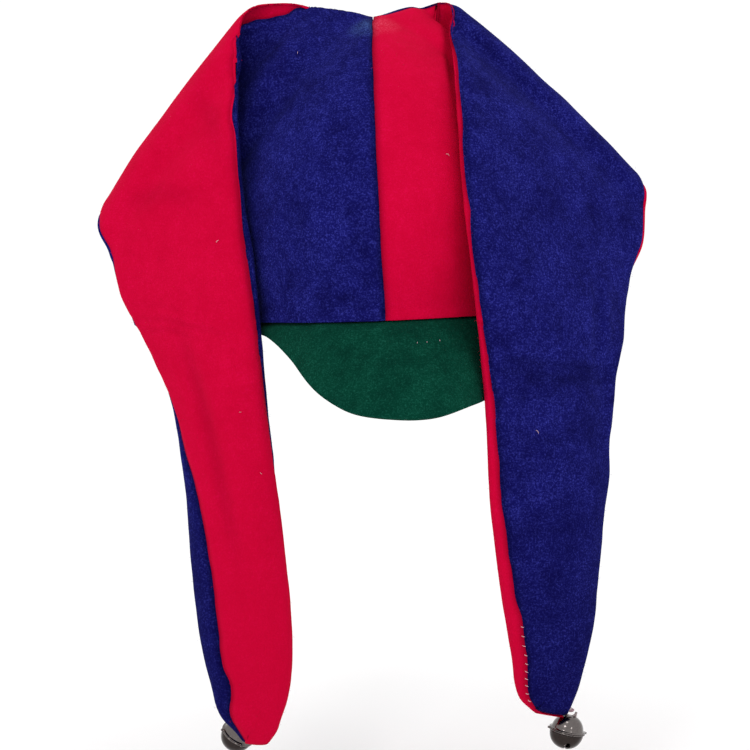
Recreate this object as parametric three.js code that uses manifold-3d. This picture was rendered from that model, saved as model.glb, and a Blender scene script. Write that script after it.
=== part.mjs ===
// A two-horned jester hat of felt, in the shape it has on a head. Four panels meet on top of the crown and
// each runs out into half of a horn. Both horns fold forward over a slanting crease and hang beside the
// crown, a soft peak is sewn to the front of the opening, and a jingle bell is sewn to each tip.
// Millimetres. +Z is up, the front of the hat faces -Y, and left and right are as seen from the front.
// The origin is the middle of the head opening.

import * as THREE from 'three';
import { mergeVertices } from 'three/addons/utils/BufferGeometryUtils.js';
import Module from 'manifold-3d';

const wasm = await Module();
wasm.setup();

// Driving dimensions of the crown

const crownWidth = 174; // over the two side seams
const crownDepth = 208; // over the front and back seams
const crownHeight = 177; // from the opening up to the point where the four panels meet
const rimTilt = 3; // degrees by which the opening is higher at the front
const feltWall = 2;
const seamGap = 0.3;
const innerClearance = 0.4; // from a horn's seam to the inner face of the felt beside it

// Driving dimensions of the horns

const leftReach = 166; // from the middle of the hat out to the elbow
const rightReach = 160;
const leftHang = 249; // from the opening down to the tip
const rightHang = 224;
const leftRollRadius = 16; // radius of the crease at the middle of the two felt layers
const rightRollRadius = 11;
const leftHalfThickness = 15; // half the thickness of the hanging horn where it is fullest
const rightHalfThickness = 13;

// Driving dimensions of the peak

const peakLength = 66; // from the seam to the hem at the middle
const peakWall = 2.5;

// Driving dimensions of the bells

const bellDiameter = 19.4;
const bellWall = 0.7;
const flangeWidth = 0.5; // the crimped ring stands this far out of the body
const earLength = 1.2; // the corners of the crimped ring stand this far out of it
const slotWidth = 1.8;
const slotHoleDiameter = 3.6; // round hole at each end of the slot
const slotReach = 7; // from the bell's axis out to the middle of each round hole
const slotTop = 2.9; // from the crimped ring down to the top of the slot
const loopWidth = 6; // between the middles of the loop's two legs
const loopHeight = 4;
const wireDiameter = 1.3;
const pelletDiameter = 6;
const pelletGap = 0.35; // between the pellet and the bottom of the cup
const loopGap = 0.35; // between a loop and the felt that it is sewn to

// Where felt turns sharply: an inner step shorter than this share of the outer one presses both its ends
// thinner, by this factor in each pass
const tightest = 0.25;
const pressing = 0.85;
const pressPasses = 8;

// How finely the felt is divided

const columns = 10; // across each panel
const peakColumns = 4;
const roundSides = 16;
const holeSides = 10;
const archSteps = 4;
const wireSteps = 12;
const wireSides = 4;
const weld = 0.0005; // corners nearer than this are one

const halfWidth = crownWidth / 2;
const halfDepth = crownDepth / 2;
const radians = THREE.MathUtils.degToRad;

// Rows of the crown, from the opening up to the top. Front and back are depths of the middle seam in halves
// of the crown's depth, side is the side seam in halves of its width, and the ups are shares of its height.
// Start and bulge are how hard the row leaves the middle seam and swings round the side, and fan turns its
// start, in degrees, away from straight across.
const crownRows = [
  { front: 1, frontUp: 0, back: 1, backUp: 0,
    side: 1, sideUp: 0, start: 0.55, bulge: 0.55, fan: 0 },
  { front: 1.03, frontUp: 0.21, back: 1.02, backUp: 0.2,
    side: 1.01, sideUp: 0.14, start: 0.55, bulge: 0.56, fan: 0 },
  { front: 0.98, frontUp: 0.44, back: 1, backUp: 0.43,
    side: 1.02, sideUp: 0.28, start: 0.55, bulge: 0.55, fan: 0 },
  { front: 0.81, frontUp: 0.66, back: 0.86, backUp: 0.66,
    side: 1.02, sideUp: 0.37, start: 0.54, bulge: 0.53, fan: 0 },
  { front: 0.53, frontUp: 0.85, back: 0.6, backUp: 0.84,
    side: 1.01, sideUp: 0.42, start: 0.52, bulge: 0.5, fan: 8 },
  { front: 0.24, frontUp: 0.96, back: 0.29, backUp: 0.955,
    side: 1, sideUp: 0.435, start: 0.5, bulge: 0.48, fan: 24 },
  { front: 0, frontUp: 1, back: 0, backUp: 1,
    side: 1.01, sideUp: 0.44, start: 0.6, bulge: 0.46, fan: 45 },
];
const crownSteps = 2; // rows drawn for each of these
const cornerFade = 3; // how fast the corner at the top of the middle seam fades out towards the side seam

// Each row of a horn is a flattened ring between an inner and an outer end. Out is a share of half the
// crown's width up to 1, and beyond it of the way on to the elbow, which is at 2. Front is a share of half
// the crown's depth. Up is a share of the crown's height above the opening, and of the hang below it. Turn,
// in degrees, carries the seam at that end round the ring.

// Rows from the crown to the crease. Half the ring's thickness, and the bow by which its middle runs ahead
// of its ends, are shares of half the crown's depth.
const leftRoot = [
  { half: 0.29, bow: 0.09, inner: { out: 0.19, front: 0.02, up: 1.022 },
    outer: { out: 1.1, front: 0, up: 0.438 } },
  { half: 0.18, bow: 0.06, inner: { out: 0.38, front: 0, up: 1.047 },
    outer: { out: 1.29, front: -0.02, up: 0.43 } },
];
const rightRoot = [
  { half: 0.27, bow: 0.09, inner: { out: 0.12, front: -0.01, up: 1.01 },
    outer: { out: 1.1, front: 0, up: 0.435 } },
  { half: 0.15, bow: 0.06, inner: { out: 0.25, front: -0.02, up: 1.028 },
    outer: { out: 1.34, front: -0.02, up: 0.418 } },
];

// The crease runs from its inner to its outer end. Half its ring's thickness is a share of the horn's half
// thickness. The slides carry a row's ends along it, as shares of its length, while the felt turns over, and
// turn carries the inner seam round meanwhile.
const leftCrease = {
  half: 0.34,
  turn: -20,
  inner: { out: 0.7, front: -0.02, up: 0.966, slideBefore: -0.15, slideAfter: 0.14 },
  outer: { out: 1.86, front: -0.02, up: 0.297, slideBefore: -0.135, slideAfter: 0.08 },
};
const rightCrease = {
  half: 0.46,
  turn: -12,
  inner: { out: 0.465, front: -0.03, up: 0.962, slideBefore: -0.096, slideAfter: 0.026 },
  outer: { out: 1.93, front: -0.03, up: 0.317, slideBefore: -0.128, slideAfter: 0.01 },
};
const creaseRows = 5;
const hornSteps = 2; // rows drawn for each row of a horn

// Rows of the hanging horn, from the crease down to the tip. Half is a share of the horn's half thickness.
const leftFall = [
  { half: 0.62, inner: { out: 0.885, front: 0.41, up: 0.706, turn: -28 },
    outer: { out: 1.91, front: 0.28, up: 0.203, turn: 0 } },
  { half: 0.76, inner: { out: 0.885, front: 0.48, up: 0.52, turn: -28 },
    outer: { out: 1.845, front: 0.3, up: 0.09, turn: 0 } },
  { half: 0.85, inner: { out: 0.862, front: 0.6, up: 0.294, turn: -28 },
    outer: { out: 1.675, front: 0.36, up: -0.036, turn: 0 } },
  { half: 0.87, inner: { out: 0.833, front: 0.69, up: 0.045, turn: -20 },
    outer: { out: 1.512, front: 0.41, up: -0.161, turn: 10 } },
  { half: 0.93, inner: { out: 0.805, front: 0.7, up: -0.161, turn: -8 },
    outer: { out: 1.435, front: 0.43, up: -0.289, turn: 30 } },
  { half: 1, inner: { out: 0.76, front: 0.66, up: -0.361, turn: 0 },
    outer: { out: 1.405, front: 0.44, up: -0.41, turn: 44 } },
  { half: 1, inner: { out: 0.718, front: 0.6, up: -0.562, turn: 0 },
    outer: { out: 1.4, front: 0.44, up: -0.57, turn: 54 } },
  { half: 0.93, inner: { out: 0.703, front: 0.55, up: -0.731, turn: 0 },
    outer: { out: 1.373, front: 0.44, up: -0.723, turn: 56 } },
  { half: 0.8, inner: { out: 0.73, front: 0.52, up: -0.851, turn: 0 },
    outer: { out: 1.315, front: 0.45, up: -0.835, turn: 56 } },
  { half: 0.57, inner: { out: 0.805, front: 0.5, up: -0.94, turn: 0 },
    outer: { out: 1.24, front: 0.46, up: -0.924, turn: 40 } },
  { half: 0.24, inner: { out: 0.897, front: 0.48, up: -1, turn: 0 },
    outer: { out: 1.05, front: 0.47, up: -0.996, turn: 0 } },
];
const rightFall = [
  { half: 0.62, inner: { out: 0.511, front: 0.481, up: 0.847, turn: -15 },
    outer: { out: 1.905, front: 0.27, up: 0.205, turn: 0 } },
  { half: 0.69, inner: { out: 0.517, front: 0.79, up: 0.633, turn: -20 },
    outer: { out: 1.805, front: 0.32, up: 0.12, turn: -6 } },
  { half: 0.77, inner: { out: 0.529, front: 0.96, up: 0.395, turn: -20 },
    outer: { out: 1.735, front: 0.4, up: 0.02, turn: -8 } },
  { half: 0.85, inner: { out: 0.563, front: 1.06, up: 0.169, turn: -20 },
    outer: { out: 1.68, front: 0.51, up: -0.076, turn: -8 } },
  { half: 0.85, inner: { out: 0.598, front: 1.1, up: -0.036, turn: -25 },
    outer: { out: 1.585, front: 0.58, up: -0.179, turn: -8 } },
  { half: 0.92, inner: { out: 0.622, front: 1.12, up: -0.214, turn: -30 },
    outer: { out: 1.53, front: 0.69, up: -0.33, turn: -8 } },
  { half: 0.97, inner: { out: 0.625, front: 1.13, up: -0.402, turn: -33 },
    outer: { out: 1.455, front: 0.79, up: -0.482, turn: -8 } },
  { half: 1, inner: { out: 0.65, front: 1.12, up: -0.5625, turn: -35 },
    outer: { out: 1.39, front: 0.86, up: -0.625, turn: -8 } },
  { half: 1, inner: { out: 0.688, front: 1.1, up: -0.705, turn: -35 },
    outer: { out: 1.335, front: 0.91, up: -0.759, turn: -8 } },
  { half: 0.85, inner: { out: 0.737, front: 1.067, up: -0.839, turn: -30 },
    outer: { out: 1.255, front: 0.942, up: -0.866, turn: -5 } },
  { half: 0.62, inner: { out: 0.772, front: 1.048, up: -0.938, turn: -20 },
    outer: { out: 1.17, front: 0.971, up: -0.951, turn: 0 } },
  { half: 0.26, inner: { out: 0.87, front: 1.029, up: -0.99, turn: 0 },
    outer: { out: 1.07, front: 1, up: -1, turn: 0 } },
];

// Soft creases in the face of a horn that shows. Row counts down the rows of the hanging horn, across goes
// from the inner seam at 0 to the outer seam at 1, and depth is in felt thicknesses, negative for a ridge.
const leftFolds = [
  { row: 4.6, rowSpread: 1.3, across: 0.55, acrossSpread: 0.07, depth: 1.1 },
  { row: 2.7, rowSpread: 0.25, across: 0.3, acrossSpread: 0.3, depth: 0.6 },
  { row: 6.6, rowSpread: 0.5, across: 0.35, acrossSpread: 0.12, depth: 0.5 },
];
const rightFolds = [
  { row: 5.1, rowSpread: 0.22, across: 0.5, acrossSpread: 0.6, depth: 1.3 },
  { row: 5.5, rowSpread: 0.18, across: 0.45, acrossSpread: 0.6, depth: -0.7 },
  { row: 4.1, rowSpread: 0.8, across: 0.68, acrossSpread: 0.06, depth: 0.9 },
  { row: 4.2, rowSpread: 0.7, across: 0.82, acrossSpread: 0.06, depth: -0.6 },
];

const foldMargin = 0.15; // share of the face, beside each seam, over which the folds fade out

// Sections of the peak, from the left end round to the right end. Turn is the place on the opening in
// degrees from the front, length a share of the peak's, and slope its fall in degrees below level.
const peakSections = [
  { turn: -100, length: 0.08, slope: 84 },
  { turn: -80, length: 0.1, slope: 82 },
  { turn: -60, length: 0.11, slope: 76 },
  { turn: -50, length: 0.13, slope: 70 },
  { turn: -40, length: 0.23, slope: 62 },
  { turn: -30, length: 0.41, slope: 60 },
  { turn: -20, length: 0.67, slope: 56 },
  { turn: -10, length: 0.88, slope: 53 },
  { turn: 0, length: 0.985, slope: 50 },
  { turn: 10, length: 0.99, slope: 51 },
  { turn: 20, length: 0.87, slope: 56 },
  { turn: 30, length: 0.75, slope: 66 },
  { turn: 40, length: 0.64, slope: 76 },
  { turn: 50, length: 0.5, slope: 82 },
  { turn: 60, length: 0.32, slope: 82 },
  { turn: 72, length: 0.17, slope: 82 },
  { turn: 86, length: 0.11, slope: 82 },
  { turn: 100, length: 0.08, slope: 84 },
];
const peakSteps = 2; // rows drawn for each of these
const peakBow = 0.06; // how far the peak's middle rises above a straight fall, in its lengths

// How each bell hangs. Out, front and up place the top of its loop as in the horns' rows, and the leans, in
// degrees, tip the bell's lower end outwards and backwards.
const leftBellSeat = { out: 1.034, front: 0.385, up: -0.94, leanOut: 32, leanBack: 20, turn: 20 };
const rightBellSeat = { out: 1.148, front: 0.968, up: -0.979, leanOut: -14, leanBack: 0, turn: 8 };

const leftHorn = {
  sign: -1, reach: leftReach, hang: leftHang, roll: leftRollRadius, thick: leftHalfThickness,
  root: leftRoot, crease: leftCrease, fall: leftFall, folds: leftFolds, bellSeat: leftBellSeat,
};
const rightHorn = {
  sign: 1, reach: rightReach, hang: rightHang, roll: rightRollRadius, thick: rightHalfThickness,
  root: rightRoot, crease: rightCrease, fall: rightFall, folds: rightFolds, bellSeat: rightBellSeat,
};

// Height of the tilted opening at a depth
function rimHeight(depth) {
  return -depth * Math.tan(radians(rimTilt));
}

// A place given by shares, with x as the distance out from the middle of the hat
function place(horn, at) {
  const beyond = Math.max(at.out - 1, 0);
  const x = Math.min(at.out, 1) * halfWidth + beyond * (horn.reach - halfWidth);
  const z = at.up * (at.up > 0 ? crownHeight : horn.hang);
  return new THREE.Vector3(x, -at.front * halfDepth, z);
}

// Half of a crown row, from the middle seam round to the side seam. Facing is -1 at the front and 1 behind.
function crownHalf(row, facing) {
  const depth = facing * halfDepth * (facing < 0 ? row.front : row.back);
  const up = facing < 0 ? row.frontUp : row.backUp;
  const rim = rimHeight(depth);
  const seam = new THREE.Vector3(0, depth, rim + up * (crownHeight - rim));
  const side = new THREE.Vector3(row.side * halfWidth, 0, row.sideUp * crownHeight);
  const fan = radians(row.fan);
  const leave = new THREE.Vector3(Math.cos(fan) * halfWidth, facing * Math.sin(fan) * halfDepth, 0);
  const arrive = new THREE.Vector3(0, facing * row.bulge * halfDepth, 0);
  arrive.z = rimHeight(arrive.y);
  const curve = new THREE.CubicBezierCurve3(
    seam,
    seam.clone().addScaledVector(leave, row.start),
    side.clone().add(arrive),
    side,
  );
  return curve.getPoints(columns);
}

// A whole crown row, from the front seam over the side seam to the back seam
function crownRing(row) {
  const front = crownHalf(row, -1);
  const back = crownHalf(row, 1).reverse();
  return [...front, ...back.slice(1)];
}

// The two ends of every row of a horn, with half its thickness and the turns of its seams
function hornRows(horn) {
  const root = horn.root.map((row) => ({
    inner: place(horn, row.inner),
    outer: place(horn, row.outer),
    half: row.half * halfDepth,
    innerTurn: 0,
    outerTurn: 0,
    bow: row.bow * halfDepth,
  }));
  const fall = horn.fall.map((row) => ({
    inner: place(horn, row.inner),
    outer: place(horn, row.outer),
    half: row.half * horn.thick,
    innerTurn: radians(row.inner.turn),
    outerTurn: radians(row.outer.turn),
    bow: 0,
  }));
  return [...root, ...creaseRowsOf(horn), ...fall];
}

// The rows that carry the felt half a turn round the crease
function creaseRowsOf(horn) {
  const crease = horn.crease;
  const innerEnd = place(horn, crease.inner);
  const outerEnd = place(horn, crease.outer);
  const along = outerEnd.clone().sub(innerEnd);
  const outward = new THREE.Vector3(-along.z, 0, along.x).normalize();
  const middle = new THREE.Vector3(0, -horn.roll, 0);
  const slid = (end, share) => THREE.MathUtils.lerp(end.slideBefore, end.slideAfter, share);
  const rows = [];
  for (let index = 0; index < creaseRows; index++) {
    const share = index / (creaseRows - 1);
    const angle = share * Math.PI;
    const round = outward.clone().multiplyScalar(horn.roll * Math.sin(angle));
    round.add(middle);
    round.y += horn.roll * Math.cos(angle);
    rows.push({
      inner: innerEnd.clone().add(round).addScaledVector(along, slid(crease.inner, share)),
      outer: outerEnd.clone().add(round).addScaledVector(along, slid(crease.outer, share)),
      half: crease.half * horn.thick,
      innerTurn: radians(crease.turn * share),
      outerTurn: 0,
      bow: 0,
    });
  }
  return rows;
}

function middleOf(row) {
  return row.inner.clone().add(row.outer).multiplyScalar(0.5);
}

// The rings of a horn. Each is drawn from the seam at its inner end, over the face that belongs to the front
// panel, past the seam at its outer end, and back over the face that belongs to the back panel.
function hornRings(horn) {
  const rows = hornRows(horn);
  const lastCrown = crownRing(crownRows[crownRows.length - 1]);
  const start = lastCrown[0].clone().add(lastCrown[columns]).multiplyScalar(0.5);
  const middles = [start, ...rows.map(middleOf)];
  return rows.map((row, index) => {
    const across = row.outer.clone().sub(row.inner).multiplyScalar(0.5);
    const next = middles[Math.min(index + 2, middles.length - 1)];
    const path = next.clone().sub(middles[index]);
    const facing = across.clone().cross(path).normalize();
    const ahead = facing.clone().cross(across).normalize();
    const ring = [];
    for (let column = 0; column <= 2 * columns; column++) {
      const share = column / columns;
      const seamTurn = share < 1
        ? THREE.MathUtils.lerp(row.innerTurn, row.outerTurn, share)
        : THREE.MathUtils.lerp(row.outerTurn, row.innerTurn, share - 1);
      const angle = share * Math.PI + seamTurn;
      const point = middles[index + 1].clone();
      point.addScaledVector(across, -Math.cos(angle));
      point.addScaledVector(facing, row.half * Math.sin(angle));
      point.addScaledVector(ahead, row.bow * Math.abs(Math.sin(angle)));
      ring.push(point);
    }
    return ring;
  });
}

// Slope of a smooth curve through three points, at the middle one
function slopeAt(before, here, after) {
  const first = Math.sqrt(here.distanceTo(before));
  const second = Math.sqrt(after.distanceTo(here));
  const arriving = here.clone().sub(before).multiplyScalar(second / first);
  const leaving = after.clone().sub(here).multiplyScalar(first / second);
  return arriving.add(leaving).divideScalar(first + second);
}

// A point between two control points of a smooth curve
function between(start, startSlope, end, endSlope, share) {
  const span = Math.sqrt(end.distanceTo(start));
  const square = share * share;
  const cube = square * share;
  return new THREE.Vector3()
    .addScaledVector(start, 2 * cube - 3 * square + 1)
    .addScaledVector(startSlope, span * (cube - 2 * square + share))
    .addScaledVector(end, 3 * square - 2 * cube)
    .addScaledVector(endSlope, span * (cube - square));
}

// Smooth rows through the control rows. Steps gives the rows drawn from a control row to the next. Corner
// tells, for a control row and a column, how sharply the curve turns there, from 0 for smooth to 1.
function loft(controls, steps, corner) {
  const last = controls.length - 1;
  const straight = (from, to, column) => {
    const start = controls[from][column];
    const end = controls[to][column];
    return end.clone().sub(start).divideScalar(Math.sqrt(end.distanceTo(start)));
  };
  const slope = (row, column, leaving) => {
    const oneSided = leaving ? [row, row + 1] : [row - 1, row];
    if (row === 0 || row === last) return straight(...oneSided, column);
    const smooth = slopeAt(controls[row - 1][column], controls[row][column], controls[row + 1][column]);
    return smooth.lerp(straight(...oneSided, column), corner(row, column));
  };
  const rows = [];
  for (let row = 0; row < last; row++) {
    for (let step = 0; step < steps(row); step++) {
      const share = step / steps(row);
      const points = controls[row].map((start, column) => between(
        start,
        slope(row, column, true),
        controls[row + 1][column],
        slope(row + 1, column, false),
        share,
      ));
      rows.push({ points, station: row + share });
    }
  }
  rows.push({ points: controls[last].map((point) => point.clone()), station: last });
  return rows;
}

// Unit normal at a point of the grid, from its neighbours along and across
function gridNormal(alongBefore, alongAfter, acrossBefore, acrossAfter) {
  const along = alongAfter.clone().sub(alongBefore);
  const across = acrossAfter.clone().sub(acrossBefore);
  return across.cross(along).normalize();
}

// Triangles of a grid of corners, cut along the shorter diagonal
function addGrid(triangles, grid, flip) {
  for (let row = 0; row < grid.length - 1; row++) {
    for (let column = 0; column < grid[row].length - 1; column++) {
      const a = grid[row][column];
      const b = grid[row][column + 1];
      const c = grid[row + 1][column + 1];
      const d = grid[row + 1][column];
      const pair = a.distanceTo(c) < b.distanceTo(d) ? [[a, b, c], [a, c, d]] : [[a, b, d], [b, c, d]];
      for (const [first, second, third] of pair) {
        triangles.push(flip ? [first, third, second] : [first, second, third]);
      }
    }
  }
}

// A closed sheet of felt between an outer and an inner grid
function sheet(outer, inner, flip) {
  const triangles = [];
  const columnOf = (grid, column) => grid.map((row) => row[column]);
  const lastColumn = outer[0].length - 1;
  const lastRow = outer.length - 1;
  addGrid(triangles, outer, flip);
  addGrid(triangles, inner, !flip);
  addGrid(triangles, [inner[0], outer[0]], flip);
  addGrid(triangles, [outer[lastRow], inner[lastRow]], flip);
  addGrid(triangles, [columnOf(outer, 0), columnOf(inner, 0)], flip);
  addGrid(triangles, [columnOf(inner, lastColumn), columnOf(outer, lastColumn)], flip);
  const corners = triangles.flat().flatMap((point) => point.toArray());
  const geometry = new THREE.BufferGeometry();
  geometry.setAttribute('position', new THREE.Float32BufferAttribute(corners, 3));
  const merged = mergeVertices(geometry, weld);
  merged.computeVertexNormals();
  return merged;
}

// Everything that both panels of one side share: the smooth rings, their normals and the folds pressed in
function sideSurface(horn) {
  const controls = [...crownRows.map(crownRing), ...hornRings(horn)];
  const top = crownRows.length - 1;
  const firstFall = crownRows.length + horn.root.length + creaseRows;
  const fromSeam = (column) => Math.min(column, 2 * columns - column) / columns;
  const corner = (row, column) => (row === top ? (1 - fromSeam(column)) ** cornerFade : 0);
  const steps = (row) => (row < top ? crownSteps : hornSteps);
  const rows = loft(controls, steps, corner);
  let normals = surfaceNormals(rows, top);
  rows.forEach((row, index) => {
    row.points.forEach((point, column) => {
      const across = 2 - column / columns;
      const pressed = foldDepth(horn.folds, row.station - firstFall, across);
      point.addScaledVector(normals[index][column], -pressed);
    });
  });
  normals = surfaceNormals(rows, top);
  return { rows, normals, top };
}

// Depth that the folds press into the back panel's face at a place
function foldDepth(folds, row, across) {
  let depth = 0;
  for (const fold of folds) {
    const down = (row - fold.row) / fold.rowSpread;
    const aside = (across - fold.across) / fold.acrossSpread;
    depth += fold.depth * feltWall * Math.exp(-down * down - aside * aside);
  }
  const fadeIn = THREE.MathUtils.smoothstep(across, 0, foldMargin);
  const fadeOut = THREE.MathUtils.smoothstep(1 - across, 0, foldMargin);
  return depth * fadeIn * fadeOut;
}

function surfaceNormals(rows, top) {
  const last = rows.length - 1;
  const end = 2 * columns;
  return rows.map((row, index) => row.points.map((point, column) => {
    const before = rows[Math.max(index - 1, 0)].points[column];
    const after = rows[Math.min(index + 1, last)].points[column];
    let left = row.points[Math.max(column - 1, 0)];
    let right = row.points[Math.min(column + 1, end)];
    const onSeam = column === 0 || column === end;
    if (onSeam && row.station >= top) {
      left = row.points[end - 1];
      right = row.points[1];
    }
    const normal = gridNormal(before, after, left, right);
    if (onSeam && row.station < top) normal.setX(0).normalize();
    if (onSeam && row.station === top) normal.set(0, 0, 1);
    return normal;
  }));
}

// How deep the inner face lies under every corner of a grid: the felt's wall, pressed thinner wherever the
// inner face would otherwise turn back on itself
function pressedWalls(outer, normals) {
  const walls = outer.map((row) => row.map(() => feltWall));
  const press = (row, column, nextRow, nextColumn) => {
    const chord = outer[nextRow][nextColumn].clone().sub(outer[row][column]);
    const under = chord.clone();
    under.addScaledVector(normals[nextRow][nextColumn], -walls[nextRow][nextColumn]);
    under.addScaledVector(normals[row][column], walls[row][column]);
    if (under.dot(chord) > tightest * chord.lengthSq()) return;
    walls[row][column] *= pressing;
    walls[nextRow][nextColumn] *= pressing;
  };
  for (let pass = 0; pass < pressPasses; pass++) {
    for (let row = 0; row < outer.length; row++) {
      for (let column = 0; column <= columns; column++) {
        if (column < columns) press(row, column, row, column + 1);
        if (row < outer.length - 1) press(row, column, row + 1, column);
      }
    }
  }
  return walls;
}

// One felt panel: the front or back half of every ring, from one seam to the other
function panel(horn, surface, first) {
  const { rows, top } = surface;
  const facing = first === 0 ? 1 : -1;
  const halfGap = seamGap / 2;
  const normals = surface.normals.map((row) => row.slice(first, first + columns + 1));
  const outer = rows.map((row, index) => {
    const points = row.points.slice(first, first + columns + 1).map((point) => point.clone());
    const firstShift = seamShift(points, 0, 1, normals[index][0]);
    const lastShift = seamShift(points, columns, -1, normals[index][columns]);
    points[0].addScaledVector(firstShift, halfGap);
    points[columns].addScaledVector(lastShift, halfGap);
    for (const point of points) point.x = Math.max(point.x, halfGap);
    return points;
  });
  const walls = pressedWalls(outer, normals);
  const inner = rows.map((row, index) => {
    const after = rows[Math.min(index + 1, rows.length - 1)].points;
    const before = rows[Math.max(index - 1, 0)].points;
    const path = after[0].clone().add(after[columns]).sub(before[0]).sub(before[columns]);
    const seamAcross = row.points[columns].clone().sub(row.points[0]);
    const seamNormal = seamAcross.cross(path).normalize().multiplyScalar(facing);
    return outer[index].map((point, column) => {
      const under = point.clone().addScaledVector(normals[index][column], -walls[index][column]);
      const short = innerClearance - under.clone().sub(row.points[0]).dot(seamNormal);
      if (row.station >= top && short > 0) under.addScaledVector(seamNormal, short);
      under.x = Math.max(under.x, halfGap);
      return under;
    });
  });
  for (const point of [...outer, ...inner].flat()) point.x *= horn.sign;
  return sheet(outer, inner, horn.sign < 0);
}

// Unit direction from a seam into the panel, square to the seam's normal
function seamShift(points, at, step, normal) {
  const direction = points[at + step].clone().sub(points[at]);
  return direction.addScaledVector(normal, -direction.dot(normal)).normalize();
}

// The peak: a crescent whose upper edge lies under the edge of the opening
function peak() {
  const controls = peakSections.map((section) => {
    const turn = radians(section.turn);
    const slope = radians(section.slope);
    const length = section.length * peakLength;
    const seam = new THREE.Vector3(Math.sin(turn) * halfWidth, -Math.cos(turn) * halfDepth, 0);
    seam.z = rimHeight(seam.y) - seamGap;
    const outward = new THREE.Vector3(Math.sin(turn) / halfWidth, -Math.cos(turn) / halfDepth, 0);
    outward.normalize();
    const points = [];
    for (let column = 0; column <= peakColumns; column++) {
      const share = column / peakColumns;
      const bow = 4 * share * (1 - share) * peakBow * length;
      const point = seam.clone();
      point.addScaledVector(outward, Math.cos(slope) * length * share + Math.sin(slope) * bow);
      point.z += Math.cos(slope) * bow - Math.sin(slope) * length * share;
      points.push(point);
    }
    return points;
  });
  const rows = loft(controls, () => peakSteps, () => 0);
  const lastRow = rows.length - 1;
  const outer = rows.map((row) => row.points);
  const inner = rows.map((row, index) => row.points.map((point, column) => {
    const normal = gridNormal(
      rows[Math.max(index - 1, 0)].points[column],
      rows[Math.min(index + 1, lastRow)].points[column],
      row.points[Math.max(column - 1, 0)],
      row.points[Math.min(column + 1, peakColumns)],
    );
    return point.clone().addScaledVector(normal, -peakWall);
  }));
  return sheet(outer, inner, false);
}

// A closed geometry as a solid that can be joined and cut
function toSolid(geometry) {
  const bare = geometry.index ? geometry.toNonIndexed() : geometry.clone();
  bare.deleteAttribute('normal');
  bare.deleteAttribute('uv');
  const merged = mergeVertices(bare, weld);
  const vertProperties = new Float32Array(merged.attributes.position.array);
  const triVerts = new Uint32Array(merged.index.array);
  return new wasm.Manifold(new wasm.Mesh({ numProp: 3, vertProperties, triVerts }));
}

function toGeometry(solid) {
  const mesh = solid.getMesh();
  const geometry = new THREE.BufferGeometry();
  geometry.setAttribute('position', new THREE.BufferAttribute(mesh.vertProperties, 3));
  geometry.setIndex(new THREE.BufferAttribute(mesh.triVerts, 1));
  geometry.computeVertexNormals();
  return geometry;
}

// A turned shape about Z from radii and heights
function turned(profile) {
  const points = profile.map(([radius, height]) => new THREE.Vector2(radius, height));
  return new THREE.LatheGeometry(points, roundSides).rotateX(Math.PI / 2);
}

// Profile of half a bell's skin, fuller than a circle, from its edge to the axis
const bellRadius = bellDiameter / 2;
const bellArcSteps = 5;
const bellFill = 0.84; // power that squares the circle: 1 leaves it round
function bellArc(radius, height, edge) {
  const points = [];
  for (let step = 0; step <= bellArcSteps; step++) {
    const angle = (step / bellArcSteps) * (Math.PI / 2);
    const out = step === bellArcSteps ? 0 : Math.cos(angle) ** bellFill;
    points.push([radius * out, edge + height * Math.sin(angle) ** bellFill]);
  }
  return points;
}

// The upper half of a bell, with the crimped ring and its four corners
function bellCap() {
  const edge = seamGap / 2;
  const height = bellRadius - edge;
  const ring = bellRadius + flangeWidth;
  const outerArc = bellArc(bellRadius, height, edge);
  const innerArc = bellArc(bellRadius - bellWall, height - bellWall, edge).reverse();
  const ringTop = edge + 2 * bellWall;
  const profile = [...innerArc, [ring, edge], [ring, ringTop], ...outerArc.slice(1)];
  let solid = toSolid(turned(profile));
  for (let quarter = 0; quarter < 4; quarter++) {
    const corner = new THREE.Shape([
      new THREE.Vector2(ring - flangeWidth, -earLength),
      new THREE.Vector2(ring + earLength, 0),
      new THREE.Vector2(ring - flangeWidth, earLength),
    ]);
    const ear = new THREE.ExtrudeGeometry(corner, { depth: bellWall, bevelEnabled: false });
    ear.translate(0, 0, edge);
    ear.rotateZ((quarter * Math.PI) / 2);
    solid = solid.add(toSolid(ear));
  }
  return toGeometry(solid);
}

// The lower half of a bell, with a slot across its bottom that ends in two round holes
function bellCup() {
  const edge = -seamGap / 2;
  const height = bellRadius + edge;
  const outerArc = bellArc(bellRadius, -height, edge).reverse();
  const innerArc = bellArc(bellRadius - bellWall, bellWall - height, edge);
  let solid = toSolid(turned([...outerArc, ...innerArc]));
  const slot = new THREE.BoxGeometry(slotWidth, 2 * slotReach, bellDiameter);
  slot.translate(0, 0, -bellRadius - slotTop);
  solid = solid.subtract(toSolid(slot));
  const holeRadius = slotHoleDiameter / 2;
  for (const facing of [-1, 1]) {
    const hole = new THREE.CylinderGeometry(holeRadius, holeRadius, bellDiameter, holeSides);
    hole.rotateX(Math.PI / 2);
    hole.translate(0, facing * slotReach, -bellRadius - slotTop);
    solid = solid.subtract(toSolid(hole));
  }
  return toGeometry(solid);
}

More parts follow.
